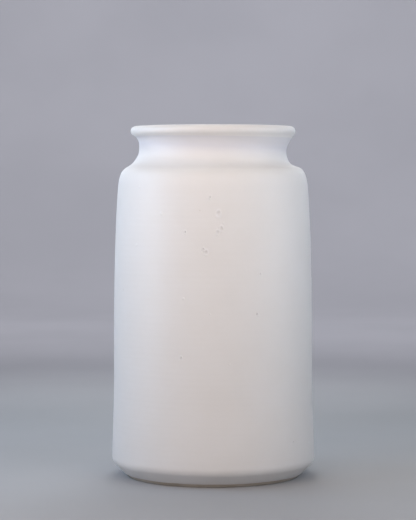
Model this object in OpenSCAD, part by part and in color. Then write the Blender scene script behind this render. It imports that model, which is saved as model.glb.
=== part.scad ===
// Thrown ceramic cylinder vase: one fired clay body with two coats of glaze fused to it.
// Every piece is turned about the Z axis, and the vase stands on z = 0.
// The three outlines share their edges, so the coats lie on the clay with no gap and no overlap.

/* [Overall] */
// Height from the foot to the top of the lip
height = 200; // [190:1:240]
// Thickness of both coats of glaze
glaze_t = 0.4; // [0.3:0.05:0.6]

/* [Body] */
// Widest radius, just above the bevel at the base
base_r = 58.1; // [57:0.1:62]
// Radius of the straight middle of the wall
waist_r = 56.85; // [56:0.05:58]
// Radius where the wall turns in to the shoulder
shoulder_r = 54.4; // [53.5:0.1:55.5]
// Radius of the soft edge between the wall and the bevel
bevel_round = 6; // [3:0.5:8]
// Thickness of the wall at mid height, glaze included
wall = 4.5; // [3.5:0.1:5.5]
// Height of the floor inside, at the middle
floor_z = 8.2; // [7:0.1:10]

/* [Neck and lip] */
// Outer radius of the neck at its narrowest
neck_r = 42.1; // [41:0.1:43.5]
// Thickness of the neck at its narrowest, glaze included
neck_wall = 4.2; // [3.5:0.1:5]
// Outer radius of the lip
lip_r = 47.1; // [46.5:0.1:48]
// Radius of the rolled bead that forms the lip
bead_r = 2.7; // [2.3:0.1:3]

/* [Foot] */
// Outer radius of the ring that the vase stands on
foot_r = 48.5; // [46:0.1:50]
// Width of that ring
foot_w = 5.2; // [4:0.1:8]
// Depth of the turned recess under the base
recess = 2.5; // [1.5:0.1:3]
// How far up the bevel the bare clay reaches
bare_h = 2.2; // [1.5:0.1:4]

/* [Hidden] */
$fn = 180;

foot_round = 1;             // rounding of the outer edge of the foot ring
bevel_angle = 45;           // slope of the bevel
neck_z = height - 13;       // narrowest place of the neck
shoulder_z = height - 35;   // top of the wall
crease_z = height - 23;     // where the shoulder turns up into the neck
crease_r = 48.6;
waist_z = 60;               // where the wall is first straight
bead_from = -50;            // the bead leaves the flare of the neck at this angle
bead_to = 150;              // and runs over the lip to this one, inside the mouth

inner_r = waist_r - wall;           // inside of the wall at mid height
throat_r = neck_r - neck_wall;      // inside of the neck at its narrowest
mid_z = 75;                         // mid height of the inner wall
heel_z = 30;                        // where the inner wall turns in to the floor
heel_in = 1.2;                      // and how much thicker the wall is there
floor_r = 32;                       // the nearly flat middle of the floor
floor_rise = 0.4;                   // how much higher the floor is at that radius
ring_r = foot_r - foot_w;           // inner edge of the ring that the vase stands on
ring_edge = 0.5;                    // rounding of that edge, and how high it reaches
ring_edge_z = 0.25;
recess_r = ring_r - 4.5;            // where the hollow slope of the ring meets the recess
recess_dome = 0.2;                  // how much deeper the recess is in the middle

// Points along a cubic curve, without its first point, so that curves can follow one another
function curve(a, b, c, d, n = 12) =
    [for (i = [1 : n]) let (t = i / n, s = 1 - t)
        s * s * s * a + 3 * s * s * t * b + 3 * s * t * t * c + t * t * t * d];

// Points along a round stretch, without its first point
function arc(centre, r, from, to, n = 12) =
    [for (i = [1 : n]) let (a = from + (to - from) * i / n) centre + r * [cos(a), sin(a)]];

function polar(r, a) = r * [cos(a), sin(a)];
function reversed(path) = [for (i = [len(path) - 1 : -1 : 0]) path[i]];
function last(path) = path[len(path) - 1];

// A surface line moved into the clay by t. Its direction runs up the outside and down the inside,
// so the clay is always on its left.
function under(path, t) =
    [for (i = [0 : len(path) - 1])
        let (a = path[max(i - 1, 0)], b = path[min(i + 1, len(path) - 1)], d = (b - a) / norm(b - a))
        path[i] + t * [-d[1], d[0]]];

// The bevel under the glaze starts where the rounding of the foot ends
bare_edge = [foot_r, foot_round] + polar(foot_round, -bevel_angle);
glaze_line = bare_edge + (bare_h - bare_edge[1]) * [1 / tan(bevel_angle), 1]
    + polar(glaze_t, -bevel_angle);
// Centre of the soft edge that joins the bevel to the wall
bevel_k = glaze_line[0] - glaze_line[1] / tan(bevel_angle);
bevel_zc = base_r - bevel_round - bevel_k + bevel_round / sin(bevel_angle);
bevel_c = [base_r - bevel_round, bevel_zc];
bead_c = [lip_r - bead_r, height - bead_r];
bead_start = bead_c + polar(bead_r, bead_from);
bead_end = bead_c + polar(bead_r, bead_to);

// Places where the curves of the inside meet
inner_crease = [crease_r - 4.1, crease_z - 2.7];
inner_shoulder = [shoulder_r - wall + 0.4, shoulder_z - 3];
inner_heel = [inner_r - heel_in, heel_z];
floor_edge = [floor_r, floor_z + floor_rise];

// Glazed surface outside: bevel, wall, shoulder, neck, flare and the bead of the lip
outside_line = concat(
    [glaze_line],
    arc(bevel_c, bevel_round, -bevel_angle, 0, 10),
    curve([base_r, bevel_zc], [base_r, 26], [waist_r, 36], [waist_r, waist_z]),
    curve([waist_r, waist_z], [waist_r + 0.1, height / 2], [shoulder_r + 2, shoulder_z - 25],
        [shoulder_r, shoulder_z], 16),
    curve([shoulder_r, shoulder_z], [shoulder_r - 0.5, shoulder_z + 6.5],
        [crease_r + 3.8, crease_z - 1.4], [crease_r, crease_z]),
    curve([crease_r, crease_z], [neck_r + 2.5, crease_z + 1.7], [neck_r, neck_z - 5.5],
        [neck_r, neck_z]),
    curve([neck_r, neck_z], [neck_r, neck_z + 3.3],
        bead_start - 2.6 * [-sin(bead_from), cos(bead_from)], bead_start, 10),
    arc(bead_c, bead_r, bead_from, bead_to, 24)
);

// Glazed surface inside, from the lip down to the middle of the floor
inside_line = concat(
    [bead_end],
    curve(bead_end, bead_end + 4 * [sin(-bead_to), cos(bead_to)], [throat_r, neck_z + 5],
        [throat_r, neck_z], 10),
    curve([throat_r, neck_z], [throat_r, neck_z - 6], [throat_r + 2.3, crease_z - 0.4], inner_crease),
    curve(inner_crease, [crease_r - 0.6, crease_z - 4.6], [shoulder_r - wall, shoulder_z + 4.5],
        inner_shoulder),
    curve(inner_shoulder, [inner_r - 0.75, height - 63], [inner_r + 0.15, height - 95],
        [inner_r, mid_z], 16),
    curve([inner_r, mid_z], [inner_r - 0.05, 58], [inner_r - 0.35, 42], inner_heel),
    curve(inner_heel, [inner_r - 2.3, 16], [inner_r - 6.4, floor_z + 0.5], floor_edge, 16),
    curve(floor_edge, [20, floor_z + 0.3], [9, floor_z], [0, floor_z], 6)
);

clay_outside = under(outside_line, glaze_t);
// The line ends on the axis, so its last point drops straight down
clay_inside = concat(under([for (i = [0 : len(inside_line) - 2]) inside_line[i]], glaze_t),
    [[0, floor_z - glaze_t]]);

// Bare clay: the underside, the recess, the ring that the vase stands on and the foot of the bevel
foot_line = concat(
    [[0, recess + recess_dome], [recess_r, recess]],
    curve([recess_r, recess], [ring_r - 2.6, recess], [ring_r - 1.2, 0.9],
        [ring_r - ring_edge, ring_edge_z], 8),
    [[ring_r, 0], [foot_r, 0]],
    arc([foot_r, foot_round], foot_round, -90, -bevel_angle, 6)
);

// The two coats part on the inside of the lip. The clay keeps one point there, from the outside line.
clay_lip_in = [for (i = [1 : len(clay_inside) - 1]) clay_inside[i]];

module clay_body() {
    color("#d9d2c6")
        rotate_extrude()
            polygon(concat(foot_line, clay_outside, clay_lip_in));
}

module outside_glaze() {
    color("#f1f0ed")
        rotate_extrude()
            polygon(concat(outside_line, reversed(clay_outside)));
}

module inside_glaze() {
    color("#eceae6")
        rotate_extrude()
            polygon(concat(inside_line, reversed(clay_lip_in), [last(clay_outside)]));
}

clay_body();
outside_glaze();
inside_glaze();
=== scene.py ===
# %% [markdown]
# # A thrown ceramic cylinder vase
# The real vase is one piece of fired clay with two coats of glaze fused to it. It was thrown on a
# wheel, so everything in it is turned about one axis. This lesson takes the outline of each piece
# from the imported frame, turns it with Geometry Nodes, adds what a potter's hands leave behind, and
# then gives the glaze and the bare clay their surfaces.

# %% Load the frame
import math
import bmesh
import bpy
import numpy as np
from mathutils import Matrix, Vector


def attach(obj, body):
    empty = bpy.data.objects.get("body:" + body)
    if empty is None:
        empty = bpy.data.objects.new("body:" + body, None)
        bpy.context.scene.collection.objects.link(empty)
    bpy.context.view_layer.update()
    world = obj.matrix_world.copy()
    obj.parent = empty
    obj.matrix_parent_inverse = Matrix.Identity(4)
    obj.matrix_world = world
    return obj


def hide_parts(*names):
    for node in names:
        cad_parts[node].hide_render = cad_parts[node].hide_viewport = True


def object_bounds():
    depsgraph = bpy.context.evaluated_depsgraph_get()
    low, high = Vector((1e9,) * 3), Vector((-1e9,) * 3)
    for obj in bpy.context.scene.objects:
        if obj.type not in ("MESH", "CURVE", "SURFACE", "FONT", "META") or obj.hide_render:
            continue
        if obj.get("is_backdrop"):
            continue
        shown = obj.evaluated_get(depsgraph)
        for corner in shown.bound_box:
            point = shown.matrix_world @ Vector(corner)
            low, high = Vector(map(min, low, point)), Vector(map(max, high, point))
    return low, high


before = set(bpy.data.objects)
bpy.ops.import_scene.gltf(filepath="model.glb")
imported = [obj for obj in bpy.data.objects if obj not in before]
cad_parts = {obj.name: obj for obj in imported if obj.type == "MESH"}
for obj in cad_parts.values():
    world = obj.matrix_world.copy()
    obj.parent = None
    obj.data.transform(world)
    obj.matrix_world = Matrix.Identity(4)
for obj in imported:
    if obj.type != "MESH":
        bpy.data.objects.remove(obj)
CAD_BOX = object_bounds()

MM = 0.001
scene = bpy.context.scene
low, high = CAD_BOX
height = high.z - low.z
print("vase", [round(v / MM, 1) for v in high - low], "mm")

# %% [markdown]
# ## The camera
# The camera comes first, because it decides how large each detail has to be to show. A vase this
# size is usually pictured from about a metre away with a long lens, which keeps the sides nearly
# parallel. The lens sits a little below the rim and looks down very slightly. That hides the inside
# and shows the front of the foot as a shallow curve. The lens is aimed by a direction, not by an
# empty that the camera tracks, because a direction needs nothing else in the scene.

# %% Camera
EYE = Vector((-0.0004, -1.0922, 0.1693))
AIM = Vector((-0.0024, 1, -0.0419))
lens = bpy.data.cameras.new("long_lens")
lens.lens, lens.sensor_width = 131.8, 36
camera = bpy.data.objects.new("camera", lens)
camera.location = EYE
camera.rotation_mode = "QUATERNION"
camera.rotation_quaternion = AIM.to_track_quat("-Z", "Y")
scene.collection.objects.link(camera)
scene.camera = camera
print("camera", round(-EYE.y / height, 2), "vase heights away")

# %% [markdown]
# ## The outline of each piece
# A turned piece is fully described by its outline, the line that a cut down through the axis would
# show. It could be drawn again by hand, but the frame already holds it exactly. So a copy of each
# CAD piece is merged at its doubles, and the edges that lie on the half plane y = 0 are walked from
# one end to the other. The clay and the liner start and end on the axis. The outside coat goes
# round and comes back to where it started.

# %% Walk an outline
def outline_of(node):
    """The points (r, z) of a turned CAD piece in mm, in order, and whether they close into a ring."""
    bm = bmesh.new()
    bm.from_mesh(node.data)
    bmesh.ops.remove_doubles(bm, verts=bm.verts, dist=1e-6)
    links = {}
    for edge in bm.edges:
        a, b = edge.verts
        if all(abs(v.co.y) < 1e-7 and v.co.x > -1e-7 for v in (a, b)):
            links.setdefault(a, []).append(b)
            links.setdefault(b, []).append(a)
    ends = [v for v in links if len(links[v]) == 1]
    # An open line starts at its lower end, a closed one at its lowest point
    start = min(ends or links, key=lambda v: (v.co.z, -v.co.x))
    line, last = [start], None
    while True:
        onward = [v for v in links[line[-1]] if v is not last and v is not start]
        if not onward or len(line) > len(links):
            break
        # From the start of a closed line the walk goes up the outside
        step = max(onward, key=lambda v: v.co.x) if len(line) == 1 else onward[0]
        last = line[-1]
        line.append(step)
    points = np.array([(v.co.x, v.co.z) for v in line]) / MM
    bm.free()
    return points, not ends


OUTLINES = {name: outline_of(node) for name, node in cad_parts.items()}
for name, (points, closed) in OUTLINES.items():
    print(name, len(points), "points,", "closed" if closed else "open",
          "r", points[:, 0].min().round(2), points[:, 0].max().round(2),
          "z", points[:, 1].min().round(2), points[:, 1].max().round(2))

# %% [markdown]
# Where two pieces share a stretch of outline, that surface is buried between clay and glaze and
# nobody will ever see it. Knowing which points are shared lets the visible surfaces have close rows
# and the buried ones few, and it tells the inside of the pot from the outside.

# %% Shared points
def key(point):
    return (round(float(point[0]), 2), round(float(point[1]), 2))


owners = {}
for name, (points, closed) in OUTLINES.items():
    for point in points:
        owners.setdefault(key(point), set()).add(name)
shared = {k for k, names in owners.items() if len(names) > 1}
liner = {k for k, names in owners.items() if "inside_glaze" in names}
GLAZE_LINE = min(OUTLINES["outside_glaze"][0], key=lambda p: p[1])
print(len(shared), "shared points; the glaze line is at r, z", GLAZE_LINE.round(2))

# %% [markdown]
# ## Close rows on a smooth line
# The outline's points are up to 3 mm apart. Straight lines between them would show as flat bands in
# the gloss, so each visible stretch is drawn again as a smooth curve through its points. A true
# corner, such as the edge of the foot ring, keeps its place but is eased by a hair, because no
# fired edge is sharp.

# %% Refine an outline
ROW = 0.9        # mm between rows of a visible surface
CORNER = 20      # degrees; a sharper turn than this is a corner
EASE = 0.22      # mm that a visible corner is cut back on each side


def turn(a, b, c):
    """How far the line a, b, c turns at b, in degrees. Left is positive, and the clay is on the left."""
    u, v = b - a, c - b
    return math.degrees(math.atan2(u[0] * v[1] - u[1] * v[0], u @ v))


def refine(points, closed):
    """Rows (r, z, inside) of a finished outline in mm, and how many corners it kept."""
    n = len(points)

    def at(i):
        return points[i % n] if closed else points[min(max(i, 0), n - 1)]

    buried = [key(at(i)) in shared and key(at(i + 1)) in shared for i in range(n)]
    corner = [(closed or 0 < i < n - 1) and abs(turn(at(i - 1), at(i), at(i + 1))) > CORNER
              for i in range(n)]
    eased = [corner[i] and not buried[i - 1] and not buried[i] for i in range(n)]
    rows = []
    for i in range(n if closed else n - 1):
        j = (i + 1) % n
        a, b = at(i), at(i + 1)
        length = np.linalg.norm(b - a)
        # The curve passes each point in the direction of its neighbours, except at a corner
        leave = b - a if corner[i] or (i == 0 and not closed) else b - at(i - 1)
        arrive = b - a if corner[j] or (j == n - 1 and not closed) else at(i + 2) - a
        leave, arrive = (v / np.linalg.norm(v) * length for v in (leave, arrive))
        cut = min(EASE, 0.4 * length) / length
        stops = np.linspace(cut * eased[i], 1 - cut * eased[j],
                            1 + (1 if buried[i] else math.ceil(length / ROW)))
        for t in stops[1 if rows and not eased[i] else 0:]:
            spot = ((2 * t**3 - 3 * t**2 + 1) * a + (t**3 - 2 * t**2 + t) * leave
                    + (3 * t**2 - 2 * t**3) * b + (t**3 - t**2) * arrive)
            rows.append((*spot, (key(a) in liner) * (1 - t) + (key(b) in liner) * t))
        if eased[j]:  # two points round the corner, on the way to the next stretch
            onward = at(i + 2) - b
            after = b + onward * min(EASE / np.linalg.norm(onward), 0.4)
            before = np.array(rows[-1][:2])
            for t in (0.33, 0.67):
                spot = (1 - t) ** 2 * before + 2 * t * (1 - t) * b + t**2 * after
                rows.append((*spot, rows[-1][2]))
    if closed:
        rows.append(rows[0])
    rows = np.array(rows)
    rows[:, :2] = np.maximum(rows[:, :2], 0)
    return rows, sum(corner)


ROWS = {}
for name in OUTLINES:
    ROWS[name], corners = refine(*OUTLINES[name])
    print(name, len(ROWS[name]), "rows,", corners, "corners")

# %% [markdown]
# ## What the hands leave
# A thrown pot is never quite round. Fingers leave a spiral of soft ridges, strong inside where they
# press outwards, and nearly wiped away outside by a rib. The turning tool leaves finer rings under
# the foot. The neck of this vase was collared in by hand, so it is a little lumpy and sits askew, and
# the knife that cut the bevel wandered. Each row of an outline is told here which ridges it carries:
# how deep they are, how far apart, which way they push, and how far along the spiral the row is. On
# a wall the spiral climbs with the height, and on a floor it runs with the radius, so the sum of the
# two serves for both.

# %% Marks along an outline
def ramp(x, start, end):
    """0 before start and 1 after end, with a soft change between. It also runs backwards."""
    t = np.clip((x - start) / (end - start), 0, 1)
    return t * t * (3 - 2 * t)


RIM = height / MM
FINGER_DEPTH, FINGER_PITCH = 0.17, 6.4     # mm, inside
RIB_DEPTH, RIB_PITCH = 0.016, 3.3          # mm, outside
TOOL_DEPTH, TOOL_PITCH = 0.05, 1.5         # mm, under the foot
# The second number also sets how strongly the hollow under the lip gets painted shade on the outside glaze.
SHEDS, HOLLOW_BEND = 0.34, 0.12               # bending in radians per mm where glaze is thinnest, thickest


def marks(rows):
    """Attributes for each row, by name: throwing marks, thin glaze, and the hollow under the lip for pooling
    and painted shade.
    """
    r, z, inside = rows.T
    inside = inside > 0.5
    floor = inside * ramp(z, 24, 11)                      # 1 on the floor inside, 0 on the wall
    under = (~inside) * ramp(z, 3.4, 2.6) * ramp(r, 43, 41)
    away_from_lip = ramp(z, RIM - 9, RIM - 20)
    rib = RIB_DEPTH * ramp(z, 8, 16) * away_from_lip
    finger = FINGER_DEPTH * away_from_lip * ramp(r, 1.5, 9)
    tool = TOOL_DEPTH * ramp(r, 1.5, 6)
    depth = np.where(inside, finger, np.where(under > 0, tool * under, rib))
    pitch = np.where(inside, FINGER_PITCH, np.where(under > 0, TOOL_PITCH, RIB_PITCH))
    travel = np.where(inside, r + z, np.where(under > 0, r, z))
    push = np.stack([1 - np.maximum(floor, under), 0 * r, under - floor], 1)
    # How sharply the outline bends, in radians per mm: convex edges shed glaze; hollows collect it in the
    # liner and take painted shade outside
    at = rows[:, :2]
    bend = np.zeros(len(rows))
    for i in range(1, len(rows) - 1):
        span = np.linalg.norm(at[i + 1] - at[i - 1]) / 2
        bend[i] = math.radians(turn(at[i - 1], at[i], at[i + 1])) / max(span, 0.25)
    soft = np.convolve(np.pad(bend, 3, "edge"), np.ones(7) / 7, "valid")
    # The last mask is the hollow under the lip: the outside glaze paints it darker and cooler as shade.
    return {"depth": depth * MM, "pitch": pitch * MM, "travel": travel * MM, "push": push,
            "thin": np.clip(soft / SHEDS, 0, 1),
            "pool_and_shade": np.clip(-soft / HOLLOW_BEND, 0, 1) * ramp(z, RIM - 19, RIM - 11)}


for name, rows in ROWS.items():
    m = marks(rows)
    print(name, "deepest mark", round(m["depth"].max() / MM, 3), "mm")

# %% [markdown]
# ## A potter's wheel in Geometry Nodes
# Turning is a rule: each point of the outline goes round the axis in a circle. Curve to Mesh or the
# Screw modifier would do that too, but here every point also needs its marks, so the tree starts
# from a flat grid instead. One side of the grid counts the turns of the wheel and the other counts
# the rows of the outline. Sample Index looks up the row, and Set Position puts the point where it
# belongs. All pieces share one tree and one seed, so the coats still lie on the clay after the wheel
# has left its marks.

# %% Helpers for node trees
def node(tree, kind, inputs=None, **settings):
    """Adds a node. inputs are values or sockets to link, by socket name or number."""
    made = tree.nodes.new(kind)
    for name, value in settings.items():
        setattr(made, name, value)
    for name, value in (inputs or {}).items():
        if isinstance(value, bpy.types.NodeSocket):
            tree.links.new(value, made.inputs[name])
        else:
            made.inputs[name].default_value = value
    return made


def calc(tree, operation, *values):
    """One step of arithmetic on numbers or sockets."""
    return node(tree, "ShaderNodeMath", dict(enumerate(values)), operation=operation).outputs[0]


def soft_step(tree, value, start, end, low=0.0, high=1.0):
    """A soft change from low to high while value goes from start to end."""
    made = node(tree, "ShaderNodeMapRange", interpolation_type="SMOOTHSTEP")
    for name, given in zip(("Value", "From Min", "From Max", "To Min", "To Max"),
                           (value, start, end, low, high)):
        if isinstance(given, bpy.types.NodeSocket):
            tree.links.new(given, made.inputs[name])
        else:
            made.inputs[name].default_value = given
    return made.outputs["Result"]


def sockets(tree, inputs, outputs):
    """Names a tree's inputs and outputs, from (name, type, default) and (name, type)."""
    for name, kind, default in inputs:
        made = tree.interface.new_socket(name, in_out="INPUT", socket_type="NodeSocket" + kind)
        if default is not None:
            made.default_value = default
    for name, kind in outputs:
        tree.interface.new_socket(name, in_out="OUTPUT", socket_type="NodeSocket" + kind)


# %% The wheel
NECK_LOW, NECK_HIGH = RIM - 24, RIM - 4.5      # mm, where the collared neck sits askew

wheel = bpy.data.node_groups.new("potters_wheel", "GeometryNodeTree")
sockets(wheel,
        [("Outline", "Geometry", None), ("Segments", "Int", 192), ("Neck tilt", "Float", 0.0013),
         ("Lean", "Float", 0.00015), ("Out of round", "Float", 0.00014),
         ("Glaze waver", "Float", 0.0004), ("Bevel waver", "Float", 0.0006),
         ("Neck lumps", "Float", 0.0005), ("Seed", "Float", 7.0), ("Finish", "Material", None)],
        [("Piece", "Geometry")])
given = wheel.nodes.new("NodeGroupInput").outputs
rows_here = node(wheel, "GeometryNodeAttributeDomainSize", {0: given["Outline"]}).outputs["Point Count"]
grid = node(wheel, "GeometryNodeMeshGrid", {
    "Size X": 1.0, "Size Y": 1.0, "Vertices Y": rows_here,
    "Vertices X": calc(wheel, "ADD", given["Segments"], 1.0)}).outputs["Mesh"]
place = node(wheel, "ShaderNodeSeparateXYZ",
             {0: node(wheel, "GeometryNodeInputPosition").outputs[0]}).outputs
turns = calc(wheel, "ADD", place["X"], 0.5)
row = calc(wheel, "ROUND", calc(wheel, "MULTIPLY", calc(wheel, "ADD", place["Y"], 0.5),
                                calc(wheel, "SUBTRACT", rows_here, 1.0)))


def looked_up(kind, source):
    """A value of the outline at this point's row."""
    return node(wheel, "GeometryNodeSampleIndex", {"Geometry": given["Outline"], "Value": source,
                "Index": row}, data_type=kind, domain="POINT").outputs["Value"]


def attribute(name, kind="FLOAT"):
    """A named value that the outline carries, at this point's row."""
    source = node(wheel, "GeometryNodeInputNamedAttribute", {"Name": name}, data_type=kind)
    return looked_up(kind, source.outputs["Attribute"])


line = node(wheel, "ShaderNodeSeparateXYZ", {0: looked_up(
    "FLOAT_VECTOR", node(wheel, "GeometryNodeInputPosition").outputs[0])}).outputs
radius, rise = line["X"], line["Z"]
angle = calc(wheel, "MULTIPLY", turns, 2 * math.pi)
east, north = calc(wheel, "COSINE", angle), calc(wheel, "SINE", angle)
print("wheel tree:", len(wheel.nodes), "nodes so far")

# %% [markdown]
# Anything random has to meet itself after a full turn, or a seam would show. So the noise is read
# on a circle, from the cosine and sine of the angle, and never from the angle itself. The spiral
# ridges come first. They meet themselves because one turn of the wheel moves them on by exactly one
# ridge.

# %% Ridges
def around(across, along, rate, salt):
    """Noise between -1 and 1, read on a circle of radius across. It changes with along at that rate."""
    spot = node(wheel, "ShaderNodeCombineXYZ", {
        "X": calc(wheel, "MULTIPLY", east, across), "Y": calc(wheel, "MULTIPLY", north, across),
        "Z": calc(wheel, "MULTIPLY", along, rate)}).outputs[0]
    noise = node(wheel, "ShaderNodeTexNoise", {
        "Vector": spot, "W": calc(wheel, "ADD", given["Seed"], salt), "Scale": 1.0, "Detail": 1.0},
        noise_dimensions="4D").outputs[0]
    return calc(wheel, "MULTIPLY", calc(wheel, "SUBTRACT", noise, 0.5), 2.0)


def band(start, full, fading, end):
    """1 between two heights of the outline, in mm, with soft ends."""
    return calc(wheel, "MULTIPLY", soft_step(wheel, rise, start * MM, full * MM),
                soft_step(wheel, rise, fading * MM, end * MM, 1.0, 0.0))


travel = attribute("travel")
ridge = calc(wheel, "ADD", calc(wheel, "ADD", turns, calc(wheel, "DIVIDE", travel, attribute("pitch"))),
             calc(wheel, "MULTIPLY", around(0.5, travel, 45.0, 0.0), 0.55))
wave = calc(wheel, "SINE", calc(wheel, "MULTIPLY", ridge, 2 * math.pi))
strength = calc(wheel, "MULTIPLY_ADD", around(0.7, travel, 60.0, 11.0), 0.8, 0.7)
mark = calc(wheel, "MULTIPLY", calc(wheel, "MULTIPLY", wave, strength), attribute("depth"))
push = node(wheel, "ShaderNodeSeparateXYZ", {0: attribute("push", "FLOAT_VECTOR")}).outputs
print("wheel tree:", len(wheel.nodes), "nodes so far")

# %% [markdown]
# Slower faults push whole stretches in and out. The pot is a hair out of round, except on the axis
# itself, where a wobble would open a hole. Hands that squeezed the neck in have left it a little
# lumpy, in slanting folds. A fold slants because its height rises towards the east and falls again
# towards the west, which also meets itself.

# %% Wobble and lumps
off_axis = soft_step(wheel, radius, 0.0, 15 * MM)
wobble = calc(wheel, "MULTIPLY", calc(wheel, "MULTIPLY", around(0.8, rise, 9.0, 23.0), off_axis),
              given["Out of round"])
slant = calc(wheel, "MULTIPLY_ADD", east, 3.5 * MM, rise)
lumps = calc(wheel, "MULTIPLY", around(1.6, slant, 110.0, 51.0), given["Neck lumps"])
lumps = calc(wheel, "MULTIPLY", lumps, band(RIM - 26, RIM - 18, RIM - 6, RIM - 2))
wobble = calc(wheel, "ADD", wobble, lumps)
print("wheel tree:", len(wheel.nodes), "nodes so far")

# %% [markdown]
# The last faults move a line up and down. The edge of the glaze wanders on the bevel, and what is
# near it goes along. The neck is lower on one side, between a still shoulder and a level lip. The
# bevel was cut with a knife held by hand, so its upper edge is not quite level.

# %% Wandering lines
# The bevel slopes at 45 degrees, so a slide along it goes as far out as it goes up
from_edge = calc(wheel, "SQRT", calc(wheel, "ADD",
                 calc(wheel, "POWER", calc(wheel, "SUBTRACT", radius, GLAZE_LINE[0] * MM), 2.0),
                 calc(wheel, "POWER", calc(wheel, "SUBTRACT", rise, GLAZE_LINE[1] * MM), 2.0)))
slide = calc(wheel, "MULTIPLY", calc(wheel, "MULTIPLY", around(3.2, rise, 0.0, 31.0),
             soft_step(wheel, from_edge, 0.4 * MM, 2.2 * MM, 1.0, 0.0)), given["Glaze waver"])
slide = calc(wheel, "MULTIPLY", slide, math.sqrt(0.5))

askew = band(NECK_LOW, NECK_LOW + 5, NECK_HIGH - 4, NECK_HIGH)
drop = calc(wheel, "MULTIPLY", calc(wheel, "MULTIPLY", askew, given["Neck tilt"]), east)
knife = calc(wheel, "MULTIPLY", band(4, 7, 12, 20),
             calc(wheel, "MULTIPLY", around(1.3, rise, 0.0, 41.0), given["Bevel waver"]))
knife = calc(wheel, "MULTIPLY", knife, soft_step(wheel, radius, 50 * MM, 53 * MM))
drop = calc(wheel, "SUBTRACT", drop, knife)
print("wheel tree:", len(wheel.nodes), "nodes so far")

# %% [markdown]
# Now the marks are added up into one new place for every point. The two masks that the glaze needs
# are stored first, as attributes, because a material can read an attribute but not a node tree.
# Merge by Distance closes the seam where the last column of the grid meets the first, and draws each
# row that lies on the axis together into one pole. Realize Instances and Set Material come last, as
# an export expects.

# %% Set the points and finish the tree
reach = calc(wheel, "ADD", calc(wheel, "ADD", radius, wobble),
             calc(wheel, "ADD", slide, calc(wheel, "MULTIPLY", mark, push["X"])))
# The pot also leans by a hair, from its foot up
lean = calc(wheel, "MULTIPLY", calc(wheel, "MULTIPLY", given["Lean"], off_axis),
            soft_step(wheel, rise, 10 * MM, 60 * MM))
where = node(wheel, "ShaderNodeCombineXYZ", {
    "X": calc(wheel, "SUBTRACT", calc(wheel, "MULTIPLY", reach, east), lean),
    "Y": calc(wheel, "MULTIPLY", reach, north),
    "Z": calc(wheel, "ADD", calc(wheel, "SUBTRACT", rise, drop),
              calc(wheel, "ADD", slide, calc(wheel, "MULTIPLY", mark, push["Z"])))}).outputs[0]
shape = grid
for name in ("thin", "pool_and_shade"):
    shape = node(wheel, "GeometryNodeStoreNamedAttribute", {
        "Geometry": shape, "Name": name, "Value": attribute(name)},
        data_type="FLOAT", domain="POINT").outputs[0]
shape = node(wheel, "GeometryNodeSetPosition", {"Geometry": shape, "Position": where}).outputs[0]
shape = node(wheel, "GeometryNodeMergeByDistance", {"Geometry": shape, "Distance": 2e-6}).outputs[0]
shape = node(wheel, "GeometryNodeSetShadeSmooth", {"Geometry": shape}).outputs[0]
shape = node(wheel, "GeometryNodeRealizeInstances", {"Geometry": shape}).outputs[0]
shape = node(wheel, "GeometryNodeSetMaterial", {"Geometry": shape, "Material": given["Finish"]}).outputs[0]
node(wheel, "NodeGroupOutput", {0: shape})
print("wheel tree:", len(wheel.nodes), "nodes")

# %% [markdown]
# A Geometry Nodes modifier needs something to act on. So the rows of an outline become a mesh of
# loose points that carries the marks as attributes, and the wheel turns that. A modifier's inputs are
# set by their identifiers, because two inputs may share a name. The turned shape is then taken out as
# a plain mesh, so nothing about it depends on the tree any more. Its normals are made to point
# outwards, and its open edges are counted: a closed pot has none.

# %% Throw a piece
def thrown(name, rows, finish):
    """One turned piece as a plain mesh at the origin, from the rows of its outline."""
    mesh = bpy.data.meshes.new(name + "_outline")
    mesh.from_pydata([(r * MM, 0, z * MM) for r, z, _ in rows], [], [])
    for label, values in marks(rows).items():
        vector = values.ndim == 2
        made = mesh.attributes.new(label, "FLOAT_VECTOR" if vector else "FLOAT", "POINT")
        made.data.foreach_set("vector" if vector else "value", values.astype(np.float32).ravel())
    blank = bpy.data.objects.new(name + "_outline", mesh)
    scene.collection.objects.link(blank)
    turning = blank.modifiers.new("wheel", "NODES")
    turning.node_group = wheel
    socket = {s.name: s.identifier for s in wheel.interface.items_tree if s.in_out == "INPUT"}
    turning[socket["Finish"]] = finish
    graph = bpy.context.evaluated_depsgraph_get()
    plain = bpy.data.meshes.new_from_object(blank.evaluated_get(graph),
                                            preserve_all_data_layers=True, depsgraph=graph)
    if plain.materials[0] is None:      # the grid brings an empty slot of its own
        plain.materials.pop(index=0)
    blank.modifiers.remove(turning)
    bpy.data.objects.remove(blank)
    bm = bmesh.new()
    bm.from_mesh(plain)
    bmesh.ops.recalc_face_normals(bm, faces=bm.faces)
    open_edges = sum(len(e.link_faces) != 2 for e in bm.edges)
    volume = bm.calc_volume(signed=True)
    bm.to_mesh(plain)
    bm.free()
    plain.set_sharp_from_angle(angle=math.radians(40))
    plain.name = name
    piece = bpy.data.objects.new(name, plain)
    scene.collection.objects.link(piece)
    print(f"{name}: {sum(len(p.vertices) - 2 for p in plain.polygons)} triangles, "
          f"{open_edges} open edges, {volume * 1e6:.1f} cm3")
    return piece


# %% [markdown]
# ## Effects that the finishes share
# Glaze and clay show the same kinds of detail in different amounts: a fine tooth, scattered specks
# and faint rings. Each is a node group, built once, with its sizes as named inputs. All of them read
# Object coordinates, which for these pieces are plain metres from the middle of the foot, so a grain
# keeps its real size on every piece and turns with it. The tooth comes first. It is what a fingertip
# feels: a fine grain on a slow unevenness.

# %% Tooth
def effect(name, inputs, outputs):
    """A shader node group with its input and output nodes: (tree, inputs, output node, coordinates)."""
    tree = bpy.data.node_groups.new(name, "ShaderNodeTree")
    sockets(tree, inputs, outputs)
    coordinates = node(tree, "ShaderNodeTexCoord").outputs["Object"]
    return tree, tree.nodes.new("NodeGroupInput").outputs, tree.nodes.new("NodeGroupOutput"), coordinates


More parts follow.
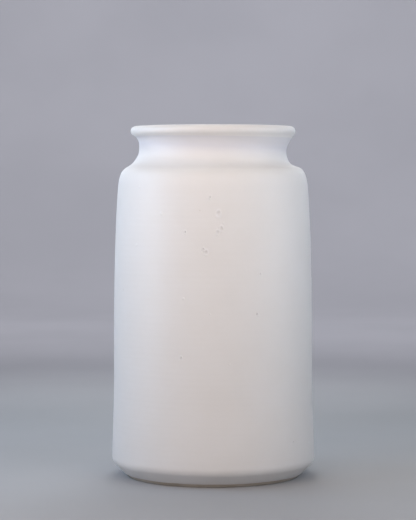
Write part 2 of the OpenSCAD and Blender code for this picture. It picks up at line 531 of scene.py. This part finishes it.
def clouds(tree, spot, size, detail=2.0, roughness=0.5):
    """Soft noise from 0 to 1 whose lumps are about size metres across."""
    scale = calc(tree, "DIVIDE", 1.0, size)
    return node(tree, "ShaderNodeTexNoise", {"Vector": spot, "Scale": scale, "Detail": detail,
                "Roughness": roughness}).outputs[0]


tooth, asked, answer, spot = effect(
    "tooth", [("Grain size", "Float", 0.0006), ("Ripple size", "Float", 0.006),
              ("Ripple share", "Float", 0.7)], [("Height", "Float")])
grain = clouds(tooth, spot, asked["Grain size"], 3.0, 0.6)
ripple = clouds(tooth, spot, asked["Ripple size"], 1.0)
tooth.links.new(node(tooth, "ShaderNodeMix", {"Factor": asked["Ripple share"], "A": grain, "B": ripple},
                     data_type="FLOAT").outputs[0], answer.inputs["Height"])
print(tooth.name, len(tooth.nodes), "nodes")

# %% [markdown]
# Specks sit at random in space and show where the surface cuts through one. A Voronoi texture gives
# each its own cell, and the cell's random colour gives it a size, a tone and the chance to be there
# at all. The rim round a speck is for burst bubbles, which leave a little wall round their pit.

# %% Specks
specks, asked, answer, spot = effect(
    "specks", [("Spacing", "Float", 0.008), ("Size", "Float", 0.0006), ("Share", "Float", 0.3),
               ("Shift", "Float", 0.0)],
    [("Mask", "Float"), ("Rim", "Float"), ("Tone", "Float")])
moved = node(specks, "ShaderNodeVectorMath", {0: spot, 1: node(specks, "ShaderNodeCombineXYZ", {
    "X": asked["Shift"], "Y": asked["Shift"], "Z": asked["Shift"]}).outputs[0]}, operation="ADD").outputs[0]
cells = node(specks, "ShaderNodeTexVoronoi", {
    "Vector": moved, "Scale": calc(specks, "DIVIDE", 1.0, asked["Spacing"]), "Randomness": 1.0})
chance = node(specks, "ShaderNodeSeparateColor", {0: cells.outputs["Color"]}).outputs
away = calc(specks, "MULTIPLY", cells.outputs["Distance"], asked["Spacing"])
wide = calc(specks, "MULTIPLY", asked["Size"], calc(specks, "MULTIPLY_ADD", chance["Green"], 0.8, 0.4))
dot = soft_step(specks, away, calc(specks, "MULTIPLY", wide, 0.45), wide, 1.0, 0.0)
chosen = calc(specks, "LESS_THAN", chance["Red"], asked["Share"])
rim = calc(specks, "SUBTRACT",
           soft_step(specks, away, wide, calc(specks, "MULTIPLY", wide, 1.7), 1.0, 0.0), dot)
specks.links.new(calc(specks, "MULTIPLY", dot, chosen), answer.inputs["Mask"])
specks.links.new(calc(specks, "MULTIPLY", rim, chosen), answer.inputs["Rim"])
specks.links.new(chance["Blue"], answer.inputs["Tone"])
print(specks.name, len(specks.nodes), "nodes")

# %% [markdown]
# Rings follow the wheel. They are noise that is stretched round the axis and short across it. On a
# wall they are stacked by height, and on a flat base by distance from the axis, and the input Flat
# goes from one to the other.

# %% Wheel rings
rings, asked, answer, spot = effect(
    "wheel_rings", [("Ring size", "Float", 0.001), ("Flat", "Float", 0.0)], [("Height", "Float")])
parts = node(rings, "ShaderNodeSeparateXYZ", {0: spot}).outputs
out = calc(rings, "SQRT", calc(rings, "ADD", calc(rings, "POWER", parts["X"], 2.0),
                               calc(rings, "POWER", parts["Y"], 2.0)))
across = node(rings, "ShaderNodeMix", {"Factor": asked["Flat"], "A": parts["Z"], "B": out},
              data_type="FLOAT").outputs[0]
path = node(rings, "ShaderNodeCombineXYZ", {
    "X": calc(rings, "MULTIPLY", parts["X"], 9.0), "Y": calc(rings, "MULTIPLY", parts["Y"], 9.0),
    "Z": calc(rings, "DIVIDE", across, asked["Ring size"])}).outputs[0]
rings.links.new(node(rings, "ShaderNodeTexNoise", {"Vector": path, "Scale": 1.0, "Detail": 2.0})
                .outputs[0], answer.inputs["Height"])
print(rings.name, len(rings.nodes), "nodes")

# %% [markdown]
# ## The three finishes
# The bare clay, the matt white glaze and the liner are each a material with one Principled shader.
# They only differ in what feeds it, so the steps that they share are helpers.

# %% Helpers for finishes
def finish(name, **plain):
    """A material with a Principled shader. plain holds values for sockets that get no link."""
    made = bpy.data.materials.new(name)
    made.use_nodes = True
    made.node_tree.nodes.clear()
    skin = node(made.node_tree, "ShaderNodeBsdfPrincipled",
                {k.replace("_", " "): v for k, v in plain.items()})
    node(made.node_tree, "ShaderNodeOutputMaterial", {"Surface": skin.outputs[0]})
    return made, made.node_tree, skin


def use(tree, group, **values):
    """Places a shared effect and gives back its outputs."""
    made = tree.nodes.new("ShaderNodeGroup")
    made.node_tree = group
    for name, value in values.items():
        made.inputs[name.replace("_", " ")].default_value = value
    return made.outputs


def tint(tree, factor, below, above):
    """Mixes two colours, each an RGB triple or a socket."""
    made = node(tree, "ShaderNodeMix", {"Factor": factor}, data_type="RGBA")
    for socket, colour in zip((made.inputs[6], made.inputs[7]), (below, above)):
        if isinstance(colour, bpy.types.NodeSocket):
            tree.links.new(colour, socket)
        else:
            socket.default_value = (*colour, 1)
    return made.outputs[2]


def carried(tree, name):
    """A mask that the piece carries as an attribute."""
    return node(tree, "ShaderNodeAttribute", attribute_name=name).outputs["Fac"]


def relief(tree, skin, *layers):
    """Stacks heights into one normal. Each layer is (height socket, strength, distance in metres)."""
    normal = None
    for height_here, strength, distance in layers:
        inputs = {"Height": height_here, "Strength": strength, "Distance": distance}
        if normal is not None:
            inputs["Normal"] = normal
        normal = node(tree, "ShaderNodeBump", inputs).outputs[0]
    tree.links.new(normal, skin.inputs["Normal"])


print("effects to place:", [group.name for group in (tooth, specks, rings)])

# %% [markdown]
# The matt white glaze is opaque. Its surface is a fine tooth, so it scatters light widely and shows
# only a soft sheen. It runs a little thin on the lip and on the edge above the bevel, where the clay
# warms it. The hollow under the lip is painted darker and a little cooler, as painted shade. Under the
# glaze lie a few dark specks of iron from the clay. Bubbles that burst in the kiln have left pits with a
# raised rim; the pits are tinted darker and browner, and the rims lighter, as a painted highlight. Most
# pits are shared out at random, but a loose group of them sits high on the front, and a random texture
# can't be told to do that. So those are listed one by one. Each is a soft ball round its place, and shows
# where the wall cuts through it.

# %% Burst bubbles
# Degrees round from the front, height and radius in mm
BUBBLES = ((3, 151, 1.3), (4.5, 143, 1.0), (2.5, 141, 0.9), (-4, 130, 1.0), (-5.5, 131.5, 0.7),
           (-16, 141, 0.6), (-2, 160, 0.6), (25, 96, 0.6), (27, 118, 0.6), (-18, 72, 0.7))
wall_line = np.array(sorted((p for p in OUTLINES["outside_glaze"][0] if key(p) not in shared),
                            key=lambda p: p[1]))


def burst(tree, spot, bubbles):
    """Pit and rim masks of a few bubbles, slightly taller than wide, because the glaze ran."""
    pit = rim = 0.0
    for degrees, up, size in bubbles:
        a, r = math.radians(degrees), np.interp(up, wall_line[:, 1], wall_line[:, 0])
        apart = node(tree, "ShaderNodeVectorMath", {
            0: spot, 1: Vector((r * math.sin(a), -r * math.cos(a), up)) * MM}, operation="SUBTRACT")
        apart = node(tree, "ShaderNodeVectorMath", {0: apart.outputs[0], 1: (1, 1, 0.65)},
                     operation="MULTIPLY")
        away = node(tree, "ShaderNodeVectorMath", {0: apart.outputs[0]}, operation="LENGTH").outputs["Value"]
        pit = calc(tree, "MAXIMUM", pit, soft_step(tree, away, 0.25 * size * MM, size * MM, 1.0, 0.0))
        rim = calc(tree, "MAXIMUM", rim, soft_step(tree, away, size * MM, 1.7 * size * MM, 1.0, 0.0))
    return pit, calc(tree, "SUBTRACT", rim, pit)


print(len(BUBBLES), "bubbles on the front, from", min(b[1] for b in BUBBLES), "to",
      max(b[1] for b in BUBBLES), "mm up")

# %% [markdown]
# One function makes both glazes. The liner is the same white, smoother and slightly creamier, so that
# it washes clean. The masks that the wheel stored say where the glaze is thin and where the hollow under
# the lip is. The outside glaze paints that hollow darker and cooler, as painted shade; the liner paints it
# a little lighter, where its glaze pools. Noise keeps either from looking even.

# %% Glazes
# The third colour is painted shade: the hollow under the lip, darker and bluer than the white.
WHITE, WARM, UNDER_LIP_SHADE = (0.80, 0.785, 0.765), (0.76, 0.735, 0.70), (0.65, 0.645, 0.695)
CREAM, CREAM_THIN, CREAM_POOLED = (0.79, 0.77, 0.735), (0.74, 0.70, 0.65), (0.80, 0.785, 0.76)
# The last colour is a painted highlight on the raised rims round the pits.
IRON, PIN, RIM_HIGHLIGHT = (0.34, 0.27, 0.22), (0.55, 0.50, 0.46), (0.86, 0.85, 0.84)


def glaze(name, white, warm, pooled_and_shade, rough, speck_share, tooth_depth, bubbles=()):
    """An opaque white glaze over speckled clay."""
    made, tree, skin = finish(name)
    spot = node(tree, "ShaderNodeTexCoord").outputs["Object"]
    patchy = clouds(tree, spot, 0.030, 5.0, 0.6)
    thin = calc(tree, "MULTIPLY", carried(tree, "thin"),
                soft_step(tree, clouds(tree, spot, 0.006), 0.25, 0.75, 0.35, 1.0))
    colour = tint(tree, soft_step(tree, patchy, 0.3, 0.7, 0.0, 0.35), white, warm)
    # Painted shade: the hollow under the lip is darker and cooler on the outside glaze; the liner gets a
    # lighter pooling tint.
    colour = tint(tree, calc(tree, "MULTIPLY", carried(tree, "pool_and_shade"), 0.8), colour, pooled_and_shade)
    colour = tint(tree, calc(tree, "MULTIPLY", thin, 0.35), colour, warm)
    iron = use(tree, specks, Spacing=0.0085, Size=0.0007, Share=speck_share)
    pins = use(tree, specks, Spacing=0.0125, Size=0.0009, Share=1.6 * speck_share, Shift=0.37)
    dots = calc(tree, "MULTIPLY", iron["Mask"], soft_step(tree, iron["Tone"], 0.2, 1.0, 0.06, 0.18))
    colour = tint(tree, dots, colour, IRON)
    pit, rim = burst(tree, spot, bubbles)
    pit, rim = calc(tree, "MAXIMUM", pit, pins["Mask"]), calc(tree, "MAXIMUM", rim, pins["Rim"])
    # Pits are tinted darker and browner, and the rims round them lighter, which is a painted highlight.
    colour = tint(tree, calc(tree, "MULTIPLY", pit, 0.17), colour, PIN)
    colour = tint(tree, calc(tree, "MULTIPLY", rim, 0.5), colour, RIM_HIGHLIGHT)
    tree.links.new(colour, skin.inputs["Base Color"])
    uneven = soft_step(tree, clouds(tree, spot, 0.012, 3.0), 0.3, 0.7, rough - 0.05, rough + 0.05)
    tree.links.new(calc(tree, "SUBTRACT", uneven, calc(tree, "MULTIPLY", thin, 0.06)),
                   skin.inputs["Roughness"])
    relief(tree, skin,
           (use(tree, tooth, Grain_size=0.0007, Ripple_size=0.0055, Ripple_share=0.75)["Height"],
            tooth_depth, 0.0002),
           (use(tree, rings, Ring_size=0.0022)["Height"], 0.25 * tooth_depth, 0.0003),
           (calc(tree, "MULTIPLY_ADD", rim, 0.7, calc(tree, "SUBTRACT", 1.0, pit)), 1.0, 0.00022))
    return made


matt_white = glaze("matt_white_glaze", WHITE, WARM, UNDER_LIP_SHADE, 0.50, 0.30, 0.35, BUBBLES)
liner_white = glaze("liner_glaze", CREAM, CREAM_THIN, CREAM_POOLED, 0.27, 0.30, 0.15)
print("glazes:", matt_white.name, liner_white.name)

# %% [markdown]
# The bare clay is dry, off-white stoneware. It has pale grog and a little iron in it, carries the fine
# rings of the turning tool, and is toasted a little next to the glaze.

# %% Bare clay
CLAY, DEEP_CLAY, TOASTED = (0.70, 0.645, 0.565), (0.61, 0.545, 0.455), (0.55, 0.44, 0.33)
GROG, RUST = (0.78, 0.74, 0.68), (0.20, 0.14, 0.10)
bare_clay, tree, skin = finish("bare_clay")
spot = node(tree, "ShaderNodeTexCoord").outputs["Object"]
up = node(tree, "ShaderNodeSeparateXYZ", {0: spot}).outputs["Z"]
grog = use(tree, specks, Spacing=0.0016, Size=0.00035, Share=0.5)
iron = use(tree, specks, Spacing=0.004, Size=0.0004, Share=0.3, Shift=0.21)
turned = use(tree, rings, Ring_size=0.0005, Flat=0.5)["Height"]
colour = tint(tree, soft_step(tree, clouds(tree, spot, 0.011, 4.0), 0.3, 0.7), CLAY, DEEP_CLAY)
colour = tint(tree, soft_step(tree, up, 0.0004, 0.0021, 0.0, 0.45), colour, TOASTED)
colour = tint(tree, calc(tree, "MULTIPLY", grog["Mask"], 0.35), colour, GROG)
colour = tint(tree, calc(tree, "MULTIPLY", iron["Mask"], 0.6), colour, RUST)
tree.links.new(colour, skin.inputs["Base Color"])
tree.links.new(soft_step(tree, turned, 0.3, 0.7, 0.80, 0.95), skin.inputs["Roughness"])
relief(tree, skin, (use(tree, tooth, Grain_size=0.00035, Ripple_size=0.003, Ripple_share=0.3)["Height"],
                    0.7, 0.0003), (turned, 0.5, 0.0002), (grog["Mask"], 0.35, 0.0002))
print("clay:", bare_clay.name)

# %% [markdown]
# ## Throw the pieces
# Each new piece stands for its CAD node, rides on the vase's one body and is turned with the
# finish that the table gives it.

# %% The three pieces
SLOTS = {"clay_body": ("fired_clay", "bare_clay", bare_clay),
         "outside_glaze": ("outside_coat", "matt_white_glaze", matt_white),
         "inside_glaze": ("inside_coat", "liner_glaze", liner_white)}
for cad_node, (name, slot, material) in SLOTS.items():
    piece = thrown(name, ROWS[cad_node], material)
    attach(piece, "root")
    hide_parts(cad_node)

# %% [markdown]
# ## The floor
# A pale floor that curves up into a round wall gives every side the same quiet background. It is a
# light grey and not white, because it is also a large reflector: a white floor would throw so much
# light up at the bevel that the foot would lose its shape.

# %% Floor
FLOOR_R, BEND_R, WALL_TOP = 2.0, 0.7, 2.2        # metres
PAPER, PAPER_SHADE = (0.42, 0.425, 0.435), (0.39, 0.395, 0.405)
stage_line = [(0, 0), (0.3, 0), (0.8, 0), (FLOOR_R - BEND_R, 0)]
stage_line += [(FLOOR_R - BEND_R + BEND_R * math.sin(a), BEND_R - BEND_R * math.cos(a))
               for a in np.radians(np.linspace(7.5, 90, 12))] + [(FLOOR_R, WALL_TOP)]
bm = bmesh.new()
verts = [bm.verts.new((r, 0, z)) for r, z in stage_line]
for a, b in zip(verts, verts[1:]):
    bm.edges.new((a, b))
bmesh.ops.spin(bm, geom=bm.verts[:] + bm.edges[:], cent=(0, 0, 0), axis=(0, 0, 1),
               angle=2 * math.pi, steps=96, use_merge=True)
bmesh.ops.remove_doubles(bm, verts=bm.verts, dist=1e-5)
bmesh.ops.recalc_face_normals(bm, faces=bm.faces)
stage_mesh = bpy.data.meshes.new("floor")
bm.to_mesh(stage_mesh)
bm.free()
stage_mesh.polygons.foreach_set("use_smooth", [True] * len(stage_mesh.polygons))
floor = bpy.data.objects.new("floor", stage_mesh)
scene.collection.objects.link(floor)
paper, tree, skin = finish("pale_paper", Roughness=0.85)
spot = node(tree, "ShaderNodeTexCoord").outputs["Object"]
tree.links.new(tint(tree, soft_step(tree, clouds(tree, spot, 0.25, 3.0), 0.3, 0.7), PAPER, PAPER_SHADE),
               skin.inputs["Base Color"])
stage_mesh.materials.append(paper)
floor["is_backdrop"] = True
print("floor:", len(stage_mesh.polygons), "faces, out to", FLOOR_R, "m")

# %% [markdown]
# ## Soft light all round
# White on white needs light that differs from side to side, since slow changes of tone and colour
# round the wall are all that tell the eye it is round. Here a ring of small soft boxes stands close
# to the rim: cool ones at the sides, like windows, and warm ones in front, like the room. Close
# boxes fade quickly with distance, so the wall darkens softly towards the foot. Three more lie low
# and light the underside of the lip. One overhead and one high behind light the top of it, and a
# tiny narrow one shines down the mouth, so that the floor inside can be seen. The boxes behind
# light the back of the vase. The boxes behind are there for whoever walks round.

# %% Soft boxes
WINDOW, ROOM, LAMP = (0.54, 0.74, 1.0), (1.0, 0.82, 0.71), (1.0, 0.95, 0.75)
HAZE, PLAIN = (0.85, 0.92, 1.0), (1.0, 1.0, 1.0)
RIM_RING = dict(up_deg=26, away_m=0.55, wide_m=0.24, tall_m=0.24, aim_z=0.16)
LOW_RING = dict(up_deg=3, away_m=0.8, wide_m=0.30, tall_m=0.16, aim_z=0.24, spread_deg=40)
middle = Vector((0, 0, 0.55 * height))


def area_light(name, at, toward, wide_m, tall_m, watts, colour, spread_deg=180):
    """A rectangular light that the camera doesn't see."""
    light = bpy.data.lights.new(name, "AREA")
    light.shape, light.size, light.size_y = "RECTANGLE", wide_m, tall_m
    light.energy, light.color, light.spread = watts, colour, math.radians(spread_deg)
    made = bpy.data.objects.new(name, light)
    made.location = at
    made.rotation_mode = "QUATERNION"
    made.rotation_quaternion = toward.to_track_quat("-Z", "Y")
    made.visible_camera = False
    scene.collection.objects.link(made)


def soft_box(name, round_deg, watts, colour, up_deg, away_m, aim_z, **shape):
    """A light at so many degrees from the camera's side, aimed at a height on the axis."""
    a, e = math.radians(round_deg), math.radians(up_deg)
    at = middle + away_m * Vector((math.sin(a) * math.cos(e), -math.cos(a) * math.cos(e), math.sin(e)))
    area_light(name, at, Vector((0, 0, aim_z)) - at, watts=watts, colour=colour, **shape)


for name, round_deg, watts, colour in (
        ("left_edge", -100, 0.75, WINDOW), ("left", -70, 0.55, WINDOW), ("front_left", -40, 0.44, ROOM),
        ("front_near_left", -15, 0.53, ROOM), ("front_near_right", 15, 0.40, ROOM),
        ("front_right", 40, 0.40, PLAIN), ("right", 70, 0.36, WINDOW), ("back_right", 145, 0.24, HAZE),
        ("back", 180, 0.50, PLAIN), ("back_left", -145, 0.27, HAZE)):
    soft_box(name, round_deg, watts, colour, **RIM_RING)
for name, round_deg, watts in (("low_left", -75, 0.10), ("low_right", 75, 0.08), ("low_front", 20, 0.015)):
    soft_box(name, round_deg, watts, HAZE, **LOW_RING)
soft_box("overhead", 0, 0.24, LAMP, **{**RIM_RING, "up_deg": 90, "away_m": 0.5})
soft_box("back_high", 180, 0.45, HAZE, **{**RIM_RING, "up_deg": 58, "away_m": 0.5})
soft_box("into_mouth", 0, 0.0045, PLAIN, up_deg=90, away_m=0.6, wide_m=0.02, tall_m=0.02, aim_z=0.0,
         spread_deg=6)

# %% [markdown]
# The boxes are too close and too weak to reach the wall of the room, so four wide lamps wash it,
# the strongest behind the vase as the camera sees it. They face away from the vase and reach it
# only as light that the wall sends back.

# %% Wall washers
WALL_LAMP = dict(wide_m=1.6, tall_m=0.3, colour=(0.91, 0.90, 1.0))
for turn_deg, watts in ((0, 18.0), (90, 8.5), (180, 8.5), (270, 8.5)):
    facing = Matrix.Rotation(math.radians(turn_deg), 3, "Z")
    area_light(f"wall_{turn_deg}", facing @ Vector((0, 0.68, 1.0)), facing @ Vector((0, 1.2, -0.5)),
               watts=watts, **WALL_LAMP)
world = bpy.data.worlds.new("room")
world.use_nodes = True
world.node_tree.nodes["Background"].inputs["Strength"].default_value = 0.02
scene.world = world
scene.view_settings.view_transform = "Standard"

# %% [markdown]
# ## Finish
# The box round the finished pieces is measured against the CAD box, and how far each side moved is printed.

# %% Sizes, then finish
VISUAL_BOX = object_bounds()
grown = [round(abs(v - c) / MM, 2) for a, b in zip(VISUAL_BOX, CAD_BOX) for v, c in zip(a, b)]
print("the box's sides moved by", grown, "mm")
